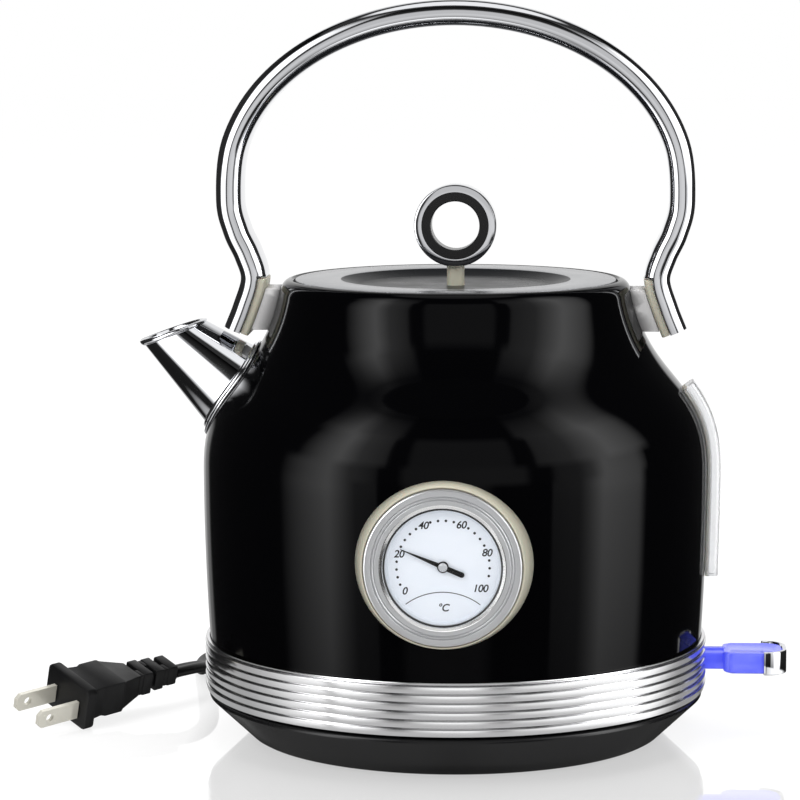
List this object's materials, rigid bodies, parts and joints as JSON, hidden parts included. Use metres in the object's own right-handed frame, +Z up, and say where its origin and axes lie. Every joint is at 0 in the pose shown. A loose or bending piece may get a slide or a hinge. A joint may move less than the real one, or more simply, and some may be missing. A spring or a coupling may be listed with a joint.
{
  "type": "electric kettle",
  "caption": "Cordless electric kettle with a domed black body, chrome arch handle, short spout, front temperature gauge, rocker switch and round power base.",
  "frame": {"origin": "on the kettle's axis at the table, under the centre of the power base's flat underside, whose feet stand 1.2 mm proud of it", "axes": "+X to the side of the switch lever and water window, -X to the spout, -Y to the front with the temperature gauge, +Z up"},
  "size_m": [0.2623, 0.263, 0.2473],
  "materials": {
    "black_paint": "high gloss enamel",
    "chrome": "polished",
    "band_steel": "brushed along the band",
    "steel": "satin",
    "beige_plastic": "satin",
    "grey_plastic": "satin",
    "black_plastic": "fine satin",
    "dark_plastic": "gloss",
    "clear_plastic": "clear",
    "blue_plastic": "clear, tinted and lit blue",
    "dial_white": "printed",
    "clear_glass": "clear",
    "black_rubber": "satin",
    "silicone": "matte",
    "brass": "machined",
    "aluminium": "cast",
    "plated_blade": "nickel plated"
  },
  "bodies": {
    "power_base": {"base_shell": "black_plastic", "base_bottom_plate": "black_plastic", "base_connector": "dark_plastic", "base_earth_pin": "brass", "base_foot_1": "black_rubber", "base_foot_2": "black_rubber", "base_foot_3": "black_rubber", "base_foot_4": "black_rubber", "base_screw_1": "steel", "base_screw_2": "steel", "base_screw_3": "steel", "cord_strain_relief": "black_rubber", "cord_lead": "black_rubber", "cord_coil": "black_rubber", "power_cord": "black_rubber", "plug_body": "black_plastic", "plug_blade_left": "plated_blade", "plug_blade_right": "plated_blade"},
    "kettle": {"body_shell": "black_paint", "trim_band": "band_steel", "bottom_cover": "black_plastic", "connector_socket": "dark_plastic", "heating_plate": "steel", "heat_spreader": "aluminium", "heating_element": "aluminium", "thermostat_control": "black_plastic", "steam_tube": "silicone", "indicator_led": "blue_plastic", "switch_pivot_pin": "steel", "spout": "chrome", "spout_filter": "steel", "handle_hoop": "chrome", "handle_pad_right": "beige_plastic", "handle_pad_left": "beige_plastic", "handle_bracket_right": "grey_plastic", "handle_bracket_left": "grey_plastic", "handle_screw_right": "steel", "handle_screw_left": "steel", "gauge_bezel": "beige_plastic", "gauge_ring": "chrome", "gauge_lens": "clear_glass", "gauge_dial": "dial_white", "gauge_housing": "steel", "gauge_probe": "brass", "gauge_seal": "silicone", "gauge_nut": "brass", "window_backing": "beige_plastic", "water_window": "clear_plastic"},
    "lid": {"lid_cover": "steel", "lid_inner_cap": "black_plastic", "lid_seal": "silicone", "knob_post": "beige_plastic", "knob_ring": "chrome", "knob_insert": "dark_plastic", "knob_screw": "steel"},
    "switch": {"switch_lever": "blue_plastic", "switch_tip": "chrome"},
    "needle": {"gauge_needle": "dark_plastic", "gauge_shaft": "steel"}
  },
  "joints": [
    {"name": "kettle_lift", "type": "slide", "parent": "power_base", "child": "kettle", "axis": [0, 0, 1], "range_m": [0, 0.06]},
    {"name": "lid_lift", "type": "slide", "parent": "kettle", "child": "lid", "axis": [0, 0, 1], "range_m": [0, 0.045]},
    {"name": "switch_rock", "type": "hinge", "parent": "kettle", "child": "switch", "pos_m": [0.074, 0, 0.0258], "axis": [0, -1, 0], "range_deg": [0, 12]},
    {"name": "needle_turn", "type": "hinge", "parent": "kettle", "child": "needle", "pos_m": [0, -0.0878, 0.072], "axis": [0, -1, 0], "range_deg": [-188, 55.5]}
  ]
}
